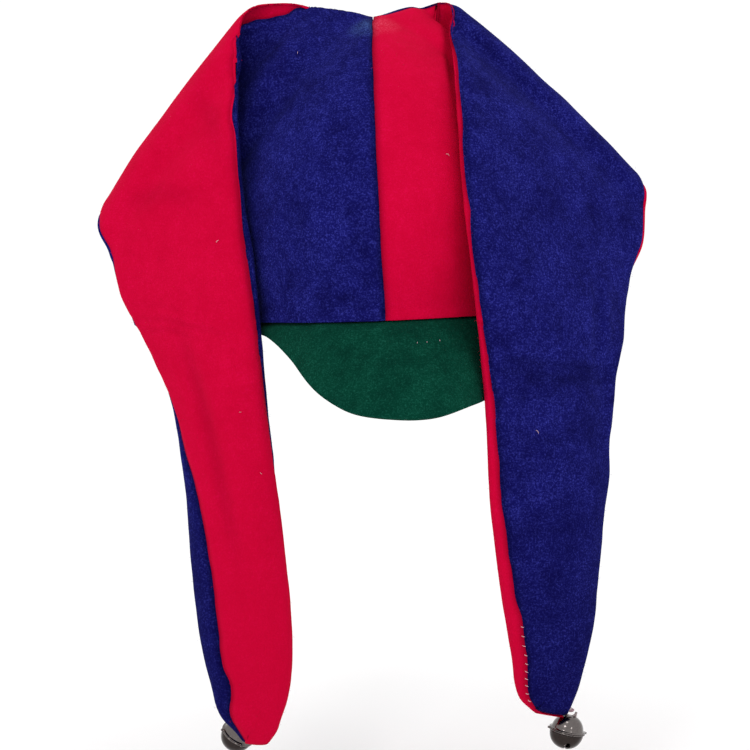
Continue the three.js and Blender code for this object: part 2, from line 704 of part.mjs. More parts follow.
// The wire loop, bent over and standing on the cap
function bellLoop() {
  const points = [new THREE.Vector3(-loopWidth / 2, 0, 0)];
  for (let step = 0; step <= archSteps; step++) {
    const angle = (step / archSteps) * Math.PI;
    const up = (1 + Math.sin(angle)) / 2;
    points.push(new THREE.Vector3((-Math.cos(angle) * loopWidth) / 2, 0, up * loopHeight));
  }
  points.push(new THREE.Vector3(loopWidth / 2, 0, 0));
  const extrudePath = new THREE.CatmullRomCurve3(points);
  const section = new THREE.Shape();
  section.absarc(0, 0, wireDiameter / 2, 0, 2 * Math.PI);
  const settings = { steps: wireSteps, curveSegments: wireSides, extrudePath };
  const geometry = new THREE.ExtrudeGeometry(section, settings);
  geometry.translate(0, 0, bellRadius + seamGap);
  return geometry;
}

function bellPellet() {
  const geometry = new THREE.IcosahedronGeometry(pelletDiameter / 2, 1);
  geometry.translate(0, 0, pelletGap + pelletDiameter / 2 + bellWall - bellRadius);
  return geometry;
}

// Colours and finishes
const felt = (color) => new THREE.MeshStandardMaterial({ color, roughness: 0.95, metalness: 0 });
const metal = (color, roughness) => new THREE.MeshStandardMaterial({ color, roughness, metalness: 1 });
const red = 0xc8083c;
const blue = 0x1c1c6e;
const green = 0x0a4a34;
const nickel = metal(0xb9bbc0, 0.2);
const wire = metal(0xa9abb0, 0.3);
const iron = metal(0x77787c, 0.4);

function part(name, geometry, material) {
  const mesh = new THREE.Mesh(geometry, material);
  mesh.name = name;
  return mesh;
}

// A bell with its loop's top at the seat, hanging along the leaning line
function bell(side, horn) {
  const seat = horn.bellSeat;
  const group = new THREE.Group();
  group.add(part(`bell_${side}_cap`, bellCap(), nickel.clone()));
  group.add(part(`bell_${side}_cup`, bellCup(), nickel.clone()));
  group.add(part(`bell_${side}_loop`, bellLoop(), wire.clone()));
  group.add(part(`bell_${side}_pellet`, bellPellet(), iron.clone()));
  const leanOut = Math.tan(radians(seat.leanOut));
  const leanBack = Math.tan(radians(seat.leanBack));
  const upward = new THREE.Vector3(-horn.sign * leanOut, -leanBack, 1).normalize();
  const tip = new THREE.Quaternion().setFromUnitVectors(new THREE.Vector3(0, 0, 1), upward);
  const spin = new THREE.Quaternion().setFromAxisAngle(new THREE.Vector3(0, 0, 1), radians(seat.turn));
  group.quaternion.copy(tip.multiply(spin));
  const top = place(horn, seat);
  top.x *= horn.sign;
  const reach = bellRadius + seamGap + loopHeight + wireDiameter / 2 + loopGap;
  group.position.copy(top).addScaledVector(upward, -reach);
  return group;
}

const hat = new THREE.Group();
const panelColours = {
  left: { front: blue, back: red },
  right: { front: red, back: blue },
};
for (const [side, horn] of Object.entries({ left: leftHorn, right: rightHorn })) {
  const surface = sideSurface(horn);
  hat.add(part(`panel_front_${side}`, panel(horn, surface, 0), felt(panelColours[side].front)));
  hat.add(part(`panel_back_${side}`, panel(horn, surface, columns), felt(panelColours[side].back)));
  hat.add(bell(side, horn));
}
hat.add(part('peak', peak(), felt(green)));

export default hat;
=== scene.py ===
import math
import bmesh
import bpy
import numpy as np
from mathutils import Matrix, Vector, kdtree, noise
from mathutils.bvhtree import BVHTree


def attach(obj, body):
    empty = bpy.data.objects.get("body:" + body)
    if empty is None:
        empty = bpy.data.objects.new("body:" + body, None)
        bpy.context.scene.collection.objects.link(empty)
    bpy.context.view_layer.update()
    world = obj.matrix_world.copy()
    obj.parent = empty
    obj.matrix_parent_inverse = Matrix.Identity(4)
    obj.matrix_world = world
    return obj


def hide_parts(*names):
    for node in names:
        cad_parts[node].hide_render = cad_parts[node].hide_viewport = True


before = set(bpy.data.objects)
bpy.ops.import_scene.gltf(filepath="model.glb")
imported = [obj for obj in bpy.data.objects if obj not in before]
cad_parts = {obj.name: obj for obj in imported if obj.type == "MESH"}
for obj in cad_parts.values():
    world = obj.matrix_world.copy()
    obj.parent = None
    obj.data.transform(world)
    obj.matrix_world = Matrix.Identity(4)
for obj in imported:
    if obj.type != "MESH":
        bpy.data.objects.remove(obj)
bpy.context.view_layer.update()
mm = 0.001
print("stage: frame loaded")

# Camera, a little above the hat's opening and slightly rolled, as the picture was taken
view = {
    "right": (0.99926292, -0.00434562, -0.03814105),
    "up": (0.03838781, 0.11311977, 0.99283951),
    "back": (0.0, -0.99357186, 0.11320321),
    "place": (-0.00698232, -1.39519698, 0.12165335),
    "lens": 112.0,
}


def makeCamera():
    data = bpy.data.cameras.new("camera")
    data.lens = view["lens"]
    data.clip_end = 40
    camera = bpy.data.objects.new("camera", data)
    bpy.context.scene.collection.objects.link(camera)
    axes = Matrix((view["right"], view["up"], view["back"])).transposed()
    camera.matrix_world = Matrix.Translation(view["place"]) @ axes.to_4x4()
    bpy.context.scene.camera = camera


makeCamera()
bpy.context.scene.view_settings.view_transform = "Standard"
print("stage: camera")


def dropSelection():
    for thing in list(bpy.context.selected_objects):
        thing.select_set(False)


def takeUp(piece):
    dropSelection()
    piece.select_set(True)
    bpy.context.view_layer.objects.active = piece


def enter(mode):
    bpy.ops.object.mode_set(mode=mode)


def pickAll():
    bpy.ops.mesh.select_all(action="SELECT")


def applied(piece, kind, **settings):
    takeUp(piece)
    modifier = piece.modifiers.new(kind.lower(), kind)
    for key, value in settings.items():
        setattr(modifier, key, value)
    bpy.ops.object.modifier_apply(modifier=modifier.name)


def nothingPicked(piece, kind):
    takeUp(piece)
    enter("EDIT")
    bpy.ops.mesh.select_mode(type=kind)
    bpy.ops.mesh.select_all(action="DESELECT")
    enter("OBJECT")


def closeUp():
    # closes the seams and poles of the shape in edit mode, turns its faces outwards, and ends the edit
    pickAll()
    bpy.ops.mesh.remove_doubles(threshold=0.004 * mm)
    bpy.ops.mesh.normals_make_consistent(inside=False)
    enter("OBJECT")


def begun(name):
    # the primitive just added, named and with its place in its mesh
    piece = bpy.context.active_object
    piece.name = piece.data.name = name
    bpy.ops.object.transform_apply(location=True)
    return piece


def dress(piece, material):
    piece.data.materials.clear()
    piece.data.materials.append(material)


def fitted(piece, material, nodeName=None):
    dress(piece, material)
    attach(piece, "root")
    if nodeName:
        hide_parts(nodeName)


def pointsOf(mesh):
    values = np.empty(len(mesh.vertices) * 3, np.float32)
    mesh.vertices.foreach_get("co", values)
    return values.reshape(-1, 3).astype(float)


def putPoints(mesh, values):
    mesh.vertices.foreach_set("co", values.astype(np.float32).ravel())
    mesh.update()


def treeOf(points):
    tree = kdtree.KDTree(len(points))
    for index, point in enumerate(points):
        tree.insert(point, index)
    tree.balance()
    return tree


def wander(points, length, seed):
    # soft noise from -1 to 1 with lumps of about this length
    shift = Vector((seed * 7.31, seed * -3.77, seed * 5.13))
    return np.array([noise.noise(Vector(point) / length + shift) for point in points])


# Felt panels: what each is cut from, and how it is held
feltPanels = {
    "panel_front_left": {"felt": "blue", "flat": (0.36, 0.40), "area": 0.061, "held": "hung"},
    "panel_back_left": {"felt": "red", "flat": (0.36, 0.40), "area": 0.0535, "held": "hung"},
    "panel_front_right": {"felt": "red", "flat": (0.36, 0.40), "area": 0.0634, "held": "hung"},
    "panel_back_right": {"felt": "blue", "flat": (0.36, 0.40), "area": 0.0627, "held": "hung"},
    "peak": {"felt": "green", "flat": (0.30, 0.07), "area": 0.0125, "held": "stretched"},
}

# How the felt is worked, in millimetres
feltWork = {
    "rounds": 3,
    "levels": 3,
    "sewn": 0.8,  # corners of two panels nearer than this are drawn together
    "dip": 1.25, "dipReach": 3.0,  # the seam is drawn in, and the felt rolls into it
    "swell": 0.4, "swellAt": 6.5, "swellReach": 3.5,
    "pucker": 0.3, "puckerLength": 8.0, "puckerReach": 9.0,
    "wave": 1.3, "waveLength": 55.0,
    "lump": 0.3, "lumpLength": 16.0,
    "quiet": 14.0,  # no wave nearer to a seam than about this
    # painted shade in the folds, its darkest, and how far the painted shade reaches from a seam
    "foldDepth": 1.35, "foldShade": 0.3, "foldDarkest": 0.6, "creaseShade": 2.2,
    "tautFade": 5.0, "tautSeam": 2.0, "tautShare": 0.7, "tautFront": 30.0,
    "edge": 0.55,  # rounding of the free edges
    "hemRoll": 0.9, "hemDrop": 0.7, "hemReach": 3.4,  # the panels' lower edge rolls over the peak
    "tuck": 2.7, "tuckReach": 3.2,  # the peak's upper edge is drawn in under them
    "allowance": 6.0, "allowanceStrip": 1.2, "allowanceIn": 0.985,  # felt of the peak that goes up inside
    "sharp": 55,  # degrees at which a panel's outer side ends
    "slideReach": 10.0, "slideShare": 0.65, "slideFar": 35.0, "slideSteps": 8,
}

# Where a seam lies further round than the pattern has it: a place on it, and how far it is slid there
seamSlides = [
    ((0, -3, 175), 0), ((-14, 0, 178), -3), ((-30, 0, 183), -7), ((-42, 0, 186), 2), ((-53, 0, 188), 7.5),
    ((-63, -3, 186), 8.5), ((-72, -11, 182), 8), ((-77, -21, 173), 5), ((-78, -28, 161), -2.5),
    ((-77, -31, 151), -4), ((-81, -40, 130), -1), ((-84, -49, 101), 2.5), ((-83, -58, 71), 3),
    ((-79, -68, 38), 3.5), ((-76, -74, 6), 3.5), ((-72, -73, -30), 3.5), ((-69, -71, -65), 4),
    ((-66, -67, -99), 5.5),
    ((-64, -63, -130), 5.5), ((-62, -60, -159), 5), ((-62, -57, -184), 5.5), ((-65, -54, -213), 5),
    ((-75, -49, -241), 1),
    ((-120, -53, -72), 2), ((-116, -56, -91), 4), ((-113, -59, -116), 4.5), ((-109, -60, -145), 4),
    ((-107, -59, -172), 3), ((-104, -58, -196), 1), ((-102, -56, -215), 4.5), ((-103, -54, -225), 3),
    ((-97, -51, -238), 2),
    ((50, -91, 92), -3), ((53, -109, 36), -3), ((57, -113, 3), -3.5), ((60, -116, -25), -3.5),
    ((62, -118, -57), -3.5), ((63, -119, -91), -3), ((65, -120, -120), -2), ((66, -119, -143), -0.8),
    ((68, -117, -172), 2), ((69, -113, -193), 3.2), ((69, -111, -206), 3.5), ((83, -108, -222), 2),
    ((0, -52, 151), -1.5), ((0, -77, 126), -1.5), ((0, -96, 95), -1.5), ((0, -104, 64), -1),
    ((0, 60, 150), 0), ((0, 100, 60), 0), ((87, 0, 40), 0), ((-87, 0, 40), 0),
    ((46, -14, 177), 0), ((46, -39, 155), 0), ((47, -70, 120), -1.5),
]

# Where the whole hat is a little fuller or flatter than the pattern: place, push and reach
pushes = [
    ((-50, 2, 188), (0, 0, -3.0), 17), ((-28, 2, 186), (0, 0, -1.5), 12),
    ((-79, -50, -237), (3.0, 0, -0.5), 7), ((-92, -50, -247), (-2.0, 0, 0), 6),
    ((72, -110, -222), (-0.5, 0, 1.2), 7), ((89, -104, -224), (1.5, 0, -1.6), 10),
    ((-164, -30, 45), (2.5, 0, 0), 9),
]

# Stretches of the crown drawn taut between its seams, as lines of x and z seen from the front
tautStretches = {
    "panel_front_left": {"line": [(-16, 192), (-34, 180), (-50, 160), (-63, 132), (-72, 100)], "width": 24,
                         "sides": (-80, -3), "outward": (-0.3, -0.9, 0.3), "rounds": 900},
    "panel_front_right": {"line": [(10, 192), (20, 182), (28, 170), (33, 156)], "width": 12,
                          "sides": (3, 39), "outward": (0.2, -0.9, 0.3), "rounds": 300},
}

# Soft creases seen from the front, as lines of x and z. Depth is how far the felt is pressed in there; a
# pressed-in crease also gets painted shade, by its shade where that is given.
softFolds = {
    "panel_back_left": [
        {"line": [(-119, -1), (-115, -15), (-112, -26), (-107, -48), (-100, -82), (-90, -137)],
         "width": 4.5, "depth": 1.3},
        {"line": [(-112, 3), (-107, -15), (-103, -30), (-98, -52), (-92, -82), (-84, -130)],
         "width": 5, "depth": -0.8},
        {"line": [(-151, 5), (-128, 6), (-107, 1), (-84, -4)], "width": 1.8, "depth": 0.55},
        {"line": [(-146, -2), (-125, 0), (-104, -6)], "width": 1.5, "depth": 0.4},
        {"line": [(-149, 12), (-130, 14), (-112, 9)], "width": 1.6, "depth": 0.35},
        {"line": [(-152, 70), (-128, 78), (-104, 74)], "width": 6, "depth": 0.8},
        {"line": [(-108, 140), (-96, 120), (-92, 96)], "width": 6, "depth": 0.8},
    ],
    "panel_back_right": [
        {"line": [(57, -16), (84, -22), (106, -27), (126, -31)], "width": 1.9, "depth": 1.6},
        {"line": [(52, -21), (81, -28), (103, -33), (126, -38)], "width": 3.6, "depth": 1.0, "shade": 0.55},
        {"line": [(55, -10), (84, -16), (106, -21), (122, -25)], "width": 2.4, "depth": -0.9},
        {"line": [(56, -31), (78, -35), (97, -40), (120, -46)], "width": 2.0, "depth": -1.1},
        {"line": [(58, -37), (80, -41), (98, -45)], "width": 1.5, "depth": 0.8},
        {"line": [(59, -42), (82, -46), (108, -52)], "width": 1.8, "depth": -0.5},
        {"line": [(70, -62), (92, -66), (116, -70)], "width": 1.8, "depth": 0.5},
        {"line": [(122, 24), (122, 12), (121, -4), (119, -28)], "width": 3.2, "depth": 1.3},
        {"line": [(128, 14), (127, -4), (126, -23)], "width": 2.8, "depth": -0.8},
        {"line": [(96, 150), (120, 128), (142, 100)], "width": 7, "depth": 0.9},
        {"line": [(74, 110), (80, 70), (84, 30)], "width": 9, "depth": 0.7},
    ],
    "panel_front_left": [
        {"line": [(-75, 132), (-60, 152), (-43, 170)], "width": 3.5, "depth": -0.7},
        {"line": [(-65, 112), (-52, 129), (-37, 145)], "width": 3.5, "depth": 0.6},
        {"line": [(-49, 73), (-48, 57), (-46, 39)], "width": 5, "depth": 0.6},
    ],
    "panel_front_right": [
        {"line": [(42, 177), (43, 166), (44, 140), (46, 110)], "width": 2.4, "depth": 1.0},
        {"line": [(38, 176), (38, 160), (40, 130)], "width": 3, "depth": -0.6},
    ],
    "peak": [
        {"line": [(-50, -10), (-30, -22), (-8, -30)], "width": 7, "depth": 0.5},
        {"line": [(10, -48), (30, -44), (50, -34)], "width": 6, "depth": -0.5},
    ],
}


def copyOfNode(nodeName):
    piece = bpy.data.objects.new("felt_" + nodeName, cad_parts[nodeName].data.copy())
    bpy.context.scene.collection.objects.link(piece)
    takeUp(piece)
    enter("EDIT")
    pickAll()
    bpy.ops.mesh.remove_doubles(threshold=0.001 * mm)
    bpy.ops.mesh.tris_convert_to_quads(
        face_threshold=math.pi, shape_threshold=math.pi, topology_influence=1.5)
    enter("OBJECT")
    return piece


def raiseAllowance(piece):
    # the strip of the peak's upper edge is drawn up inside the crown
    nothingPicked(piece, "FACE")
    points = pointsOf(piece.data)
    nearRim = np.abs(points[:, 2] - rimHeight(points)) < feltWork["allowanceStrip"] * mm
    for face in piece.data.polygons:
        face.select = bool(nearRim[list(face.vertices)].all() and face.normal.z > 0.5)
    enter("EDIT")
    bpy.ops.mesh.extrude_region_move(
        TRANSFORM_OT_translate={"value": (0, 0, feltWork["allowance"] * mm)})
    inward = feltWork["allowanceIn"]
    bpy.ops.transform.resize(value=(inward, inward, 1), center_override=(0, 0, 0))
    enter("OBJECT")


def outerFace(mesh):
    # the widest stretch of faces that no sharp edge parts, and the sharp edges
    form = bmesh.new()
    form.from_mesh(mesh)
    form.faces.ensure_lookup_table()
    sharpest = math.radians(feltWork["sharp"])
    sharp = {edge.index for edge in form.edges if edge.calc_face_angle() > sharpest}
    best, bestArea, seen = [], 0, set()
    for start in form.faces:
        if start.index in seen:
            continue
        seen.add(start.index)
        stretch, waiting = [], [start]
        while waiting:
            face = waiting.pop()
            stretch.append(face)
            for edge in face.edges:
                for other in edge.link_faces if edge.index not in sharp else ():
                    if other.index not in seen:
                        seen.add(other.index)
                        waiting.append(other)
        area = sum(face.calc_area() for face in stretch)
        if area > bestArea:
            best, bestArea = stretch, area
    faces = {face.index for face in best}
    corners = {corner.index for face in best for corner in face.verts}
    rim = {edge.index for face in best for edge in face.edges
           if any(other.index not in faces for other in edge.link_faces)}
    form.free()
    return corners, rim | sharp


def sewTogether(piece, nodeName):
    others = np.concatenate([
        pointsOf(node.data) for name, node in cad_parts.items()
        if name.startswith("panel") and name != nodeName])
    tree = treeOf(others)
    points = pointsOf(piece.data)
    for index, point in enumerate(points):
        near, _, apart = tree.find(point)
        if apart < feltWork["sewn"] * mm:
            points[index] = (point + np.array(near)) / 2
    putPoints(piece.data, points)


def pushed(points):
    moved = points.copy()
    for place, push, reach in pushes:
        apart = np.linalg.norm(points - np.array(place) * mm, axis=1)
        moved += np.exp(-(apart / (reach * mm)) ** 2)[:, None] * np.array(push) * mm
    return moved


def keepThrough(piece, rounds):
    # moves the control points so that the softened felt passes through the pattern's corners
    target = pointsOf(piece.data)
    modifier = piece.modifiers.new("soften", "SUBSURF")
    modifier.levels = modifier.render_levels = 1
    for _ in range(rounds):
        shaped = piece.evaluated_get(bpy.context.evaluated_depsgraph_get()).data
        now = pointsOf(shaped)[:len(target)]
        putPoints(piece.data, pointsOf(piece.data) + (target - now))
    piece.modifiers.remove(modifier)


def facesOf(mesh):
    # four corners of each face, all faces being quads once the felt is subdivided
    corners = np.empty(len(mesh.loops), np.int32)
    mesh.loops.foreach_get("vertex_index", corners)
    return corners.reshape(-1, 4)


def faceNormals(points, faces):
    across = points[faces[:, 2]] - points[faces[:, 0]]
    down = points[faces[:, 3]] - points[faces[:, 1]]
    return np.cross(across, down)


def strokeWeight(places, stroke, fading=1):
    # nearness of each place to a line on the front view, where asked fading out at the line's ends
    line = np.array(stroke["line"], float) * mm
    nearest = np.full(len(places), 9.0)
    along = np.zeros(len(places))
    lengths = np.linalg.norm(np.diff(line, axis=0), axis=1)
    gone = 0.0
    for start, end, length in zip(line[:-1], line[1:], lengths):
        share = np.clip(((places - start) @ (end - start)) / length ** 2, 0, 1)
        apart = np.linalg.norm(places - (start + share[:, None] * (end - start)), axis=1)
        nearer = apart < nearest
        nearest[nearer] = apart[nearer]
        along[nearer] = (gone + share[nearer] * length) / lengths.sum()
        gone += length
    fade = np.sin(math.pi * np.clip(along, 0.03, 0.97)) ** (0.6 * fading)
    return np.exp(-(nearest / (stroke["width"] * mm)) ** 2) * fade


def rimHeight(points):
    return -points[:, 1] * math.tan(math.radians(3))  # the opening is higher at the front


def readFelt(piece, nodeName):
    # what the felt's work needs to know of a panel: its outer side, its seams and its free edges
    points = pushed(pointsOf(piece.data))
    side = np.empty(len(points), np.float32)
    piece.data.attributes["outerSide"].data.foreach_get("value", side)
    faces = facesOf(piece.data)
    isOuter = side > 0.999
    outerFaces = faces[isOuter[faces].all(axis=1)]
    onWall = np.zeros(len(points), bool)
    onWall[faces[~isOuter[faces].all(axis=1)]] = True
    outer = np.nonzero(isOuter)[0]
    normals = normalsOf(points, outerFaces)[outer]
    places = points[outer]
    rim = (isOuter & onWall)[outer]
    height = places[:, 2] - rimHeight(places)
    isHem = rim & (np.abs(height) < 1.0 * mm)
    isSeam = rim & ~isHem
    if nodeName == "peak":
        isSeam = (np.abs(height) < 1.0 * mm) & (places[:, 1] < 60 * mm)
        isHem = rim & (height < -2.0 * mm)
    number = np.full(len(points), -1)
    number[outer] = np.arange(len(outer))
    felt = {"points": points, "isOuter": isOuter, "outer": outer, "outerFaces": outerFaces,
            "places": places, "normals": normals, "isHem": isHem, "isSeam": isSeam, "number": number,
            "drawn": np.zeros_like(places)}
    if nodeName in tautStretches:
        felt["drawn"] = drawTaut(felt, tautStretches[nodeName])
        felt["places"] = places + felt["drawn"]
        felt["normals"] = normalsOf(felt["places"], number[outerFaces])
    return felt


def drawTaut(felt, stretch):
    # evens the felt out between its seams, as cloth does that is pulled over a form from both sides
    places = felt["places"]
    seamTree = treeOf(places[felt["isSeam"]])
    low, high = (side * mm for side in stretch["sides"])
    fade = feltWork["tautFade"] * mm
    weight = np.clip(2 * strokeWeight(places[:, [0, 2]], stretch, 0), 0, 1)
    weight *= np.clip((places[:, 0] - low) / fade, 0, 1) * np.clip((high - places[:, 0]) / fade, 0, 1)
    weight[places[:, 1] > feltWork["tautFront"] * mm] = 0
    chosen = np.nonzero(weight > 0.01)[0]
    for index in chosen:
        weight[index] *= min(1, seamTree.find(places[index])[2] / (feltWork["tautSeam"] * mm))
    count = felt["number"][felt["outerFaces"]]
    pairs = np.concatenate([count[:, [0, 1]], count[:, [1, 2]], count[:, [2, 3]], count[:, [3, 0]]])
    pairs = np.concatenate([pairs, pairs[:, ::-1]])
    pairs = pairs[weight[pairs[:, 0]] > 0.01]
    degree = np.maximum(np.bincount(pairs[:, 0], minlength=len(places)), 1)
    outward = np.array(stretch["outward"]) / np.linalg.norm(stretch["outward"])
    drawn = np.zeros_like(places)
    for _ in range(stretch["rounds"]):
        now = places + drawn
        for axis in range(3):
            mean = np.bincount(pairs[:, 0], now[pairs[:, 1], axis], minlength=len(places)) / degree
            drawn[chosen, axis] += (feltWork["tautShare"] * weight * (mean - now[:, axis]))[chosen]
        drawn -= np.minimum(drawn @ outward, 0)[:, None] * outward
    return drawn


def normalsOf(points, faces):
    normals = np.zeros_like(points)
    for column in range(4):
        np.add.at(normals, faces[:, column], faceNormals(points, faces))
    return normals / (np.linalg.norm(normals, axis=1)[:, None] + 1e-12)


def seamRuns(felt):
    # the seam's corners, with the direction it runs in at each: downwards, and outwards on top
    where = np.nonzero(felt["isSeam"])[0]
    runs = np.zeros((len(felt["places"]), 3))
    count = felt["number"][felt["outerFaces"]]
    for first, second in ((0, 1), (1, 2), (2, 3), (3, 0)):
        pairs = count[:, [first, second]]
        pairs = pairs[felt["isSeam"][pairs].all(axis=1)]
        step = felt["places"][pairs[:, 1]] - felt["places"][pairs[:, 0]]
        outward = np.sign(felt["places"][pairs].mean(axis=1)[:, 0])
        sense = np.sign(0.6 * outward * step[:, 0] - step[:, 2])[:, None]
        np.add.at(runs, pairs[:, 0], step * sense)
        np.add.at(runs, pairs[:, 1], step * sense)
    runs = runs[where]
    runs /= np.linalg.norm(runs, axis=1)[:, None] + 1e-12
    return felt["places"][where], runs


def slideAmounts(seamPoints):
    # how far the seam slides at each of its corners, from the table's nearest places
    spots = np.array([spot for spot, _ in seamSlides], float) * mm
    amounts = np.array([amount for _, amount in seamSlides], float) * mm
    apart = np.linalg.norm(seamPoints[:, None] - spots[None], axis=2)
    weight = (apart ** 2 + (4 * mm) ** 2) ** -1.5
    far = np.exp(-(apart.min(axis=1) / (feltWork["slideFar"] * mm)) ** 4)
    return (weight @ amounts) / weight.sum(axis=1) * far


def slideSeams(felt, skin):
    # slides the felt beside a seam along the hat's skin, so that the seam comes to lie where it should
    seamPoints, runs = seamRuns(felt)
    tree = treeOf(seamPoints)
    nearest = [tree.find(place) for place in felt["places"]]
    index = np.array([item[1] for item in nearest])
    apart = np.array([item[2] for item in nearest])
    amount = slideAmounts(seamPoints)[index]
    reach = feltWork["slideReach"] * mm + feltWork["slideShare"] * np.abs(amount)
    amount *= np.exp(-(apart / reach) ** 2)
    aim = felt["places"].copy()
    steps = feltWork["slideSteps"]
    for at in np.nonzero(np.abs(amount) > 0.05 * mm)[0]:
        place, outward = Vector(aim[at]), Vector(felt["normals"][at])
        run = Vector(runs[index[at]])
        for _ in range(steps):
            found, side, _, _ = skin.find_nearest(
                place + outward.cross(run) * (amount[at] / steps), 3 * mm)
            if found is None or side.dot(outward) < 0.3:
                break
            place, outward = found, side
        aim[at] = place
    return aim - felt["places"]


def workFelt(piece, nodeName, seed, felt, skin):
    mesh = piece.data
    work = feltWork
    places, normals, outer = felt["places"], felt["normals"], felt["outer"]
    slid = slideSeams(felt, skin) if skin else np.zeros_like(places)
    seamTree, hemTree = treeOf(places[felt["isSeam"]]), treeOf(places[felt["isHem"]])
    fromSeam = np.array([seamTree.find(place)[2] for place in places]) / mm
    fromHem = np.array([hemTree.find(place)[2] for place in places]) / mm
    places = places + slid

    amount = np.zeros(len(places))
    if nodeName != "peak":
        amount -= work["dip"] * np.exp(-(fromSeam / work["dipReach"]) ** 2)
        amount += work["swell"] * np.exp(-((fromSeam - work["swellAt"]) / work["swellReach"]) ** 2)
    pucker = wander(places, work["puckerLength"] * mm, seed)
    amount += work["pucker"] * pucker * np.exp(-(fromSeam / work["puckerReach"]) ** 2)
    free = 1 - np.exp(-(fromSeam / work["quiet"]) ** 2)
    amount += work["wave"] * wander(places, work["waveLength"] * mm, seed + 3) * free
    amount += work["lump"] * wander(places, work["lumpLength"] * mm, seed + 5)
    frontFacing = np.clip(-3 * normals[:, 1], 0, 1)
    paintedFoldShade = np.zeros(len(places))
    for stroke in softFolds.get(nodeName, ()):
        weight = strokeWeight(places[:, [0, 2]], stroke) * frontFacing
        amount -= work["foldDepth"] * stroke["depth"] * weight
        paintedFoldShade += stroke.get("shade", work["foldShade"] * max(stroke["depth"], 0)) * weight
    shift = felt["drawn"] + slid + normals * (amount * mm)[:, None]

    if "front" in nodeName:
        roll = np.exp(-(fromHem / work["hemReach"]) ** 2)
        shift += normals * (work["hemRoll"] * mm * roll)[:, None]
        shift[:, 2] -= work["hemDrop"] * mm * roll
    if nodeName == "peak":
        above = felt["places"][:, 2] - rimHeight(felt["places"]) > -0.5 * mm
        tuck = np.where(above, 1, np.exp(-(fromSeam / work["tuckReach"]) ** 2))
        inward = felt["places"] * (-1, -1, 0)
        inward /= np.linalg.norm(inward, axis=1)[:, None] + 1e-12
        shift += inward * (work["tuck"] * mm * tuck)[:, None]

    moved = felt["points"].copy()
    moved[outer] += shift
    outerTree = treeOf(felt["places"] - felt["drawn"])
    for index in np.nonzero(~felt["isOuter"])[0]:
        moved[index] += shift[outerTree.find(felt["points"][index])[1]]
    putPoints(mesh, moved)
    felt["worked"] = moved[outer]

    # painted shade: the felt is darkened along its seams and in its pressed-in folds, where shade falls
    creaseShade = np.zeros(len(moved), np.float32)
    paintedFoldShade = np.minimum(paintedFoldShade, work["foldDarkest"])
    creaseShade[outer] = np.maximum(np.exp(-(fromSeam / work["creaseShade"]) ** 2), paintedFoldShade)
    mesh.attributes.new("creaseShade", "FLOAT", "POINT").data.foreach_set("value", creaseShade)
    freeEdge = np.zeros(len(moved), bool)
    freeEdge[outer[felt["isHem"]]] = True
    return freeEdge


def roundFreeEdge(piece, freeEdge):
    nothingPicked(piece, "EDGE")
    for edge in piece.data.edges:
        first, second = edge.vertices
        edge.select = bool(freeEdge[first] and freeEdge[second])
    enter("EDIT")
    bpy.ops.mesh.bevel(offset=feltWork["edge"] * mm, segments=3, affect="EDGES", clamp_overlap=True)
    enter("OBJECT")


def cutFelt(nodeName):
    # the pattern of a panel, softened and finely divided
    piece = copyOfNode(nodeName)
    mesh = piece.data
    if nodeName == "peak":
        raiseAllowance(piece)
    corners, rims = outerFace(mesh)
    if nodeName != "peak":
        sewTogether(piece, nodeName)
    side = mesh.attributes.new("outerSide", "FLOAT", "POINT")
    for index in corners:
        side.data[index].value = 1.0
    crease = mesh.attributes.new("crease_edge", "FLOAT", "EDGE")
    for index in rims:
        crease.data[index].value = 1.0
    keepThrough(piece, feltWork["rounds"])
    applied(piece, "SUBSURF", levels=feltWork["levels"], render_levels=feltWork["levels"])
    return piece


def makeFelts():
    pieces = {nodeName: cutFelt(nodeName) for nodeName in feltPanels}
    felts = {nodeName: readFelt(piece, nodeName) for nodeName, piece in pieces.items()}
    print("stage: felt cut")
    points, faces, count = [], [], 0
    for nodeName, felt in felts.items():
        if nodeName != "peak":
            points.append(felt["places"])
            faces.append(felt["number"][felt["outerFaces"]] + count)
            count += len(felt["places"])
    skin = BVHTree.FromPolygons(np.concatenate(points).tolist(), np.concatenate(faces).tolist())
    for seed, (nodeName, facts) in enumerate(feltPanels.items(), start=1):
        piece = pieces[nodeName]
        freeEdge = workFelt(piece, nodeName, seed, felts[nodeName], skin if nodeName != "peak" else None)
        roundFreeEdge(piece, freeEdge)
        takeUp(piece)
        bpy.ops.object.shade_smooth_by_angle(angle=math.radians(60))
        fitted(piece, feltMaterials[facts["felt"]], nodeName)
        print("stage:", nodeName)
    return pieces, felts


# Felt finishes: a deep and a paler ground, loose fibres on top, and a painted highlight on the worn,
# flattened patch by the top seam
feltColours = {
    "blue": {"deep": (0.0025, 0.002, 0.05, 1), "base": (0.0055, 0.0055, 0.103, 1),
             "shade": (0.002, 0.0015, 0.045, 1), "fibre": (0.038, 0.043, 0.32, 1),
             "wornSheen": (0.06, 0.12, 0.32, 1), "sheen": (0.2, 0.25, 1, 1)},
    "red": {"deep": (0.485, 0.0004, 0.026, 1), "base": (0.53, 0.001, 0.031, 1),
            "shade": (0.47, 0.0008, 0.026, 1), "fibre": (0.62, 0.002, 0.055, 1),
            "wornSheen": (0.72, 0.07, 0.13, 1), "sheen": (1, 0.1, 0.2, 1)},
    "green": {"deep": (0.0002, 0.022, 0.014, 1), "base": (0.0006, 0.038, 0.022, 1),
              "shade": (0.0003, 0.02, 0.012, 1), "fibre": (0.008, 0.09, 0.06, 1),
              "wornSheen": (0.02, 0.12, 0.07, 1), "sheen": (0.3, 1, 0.6, 1)},
}
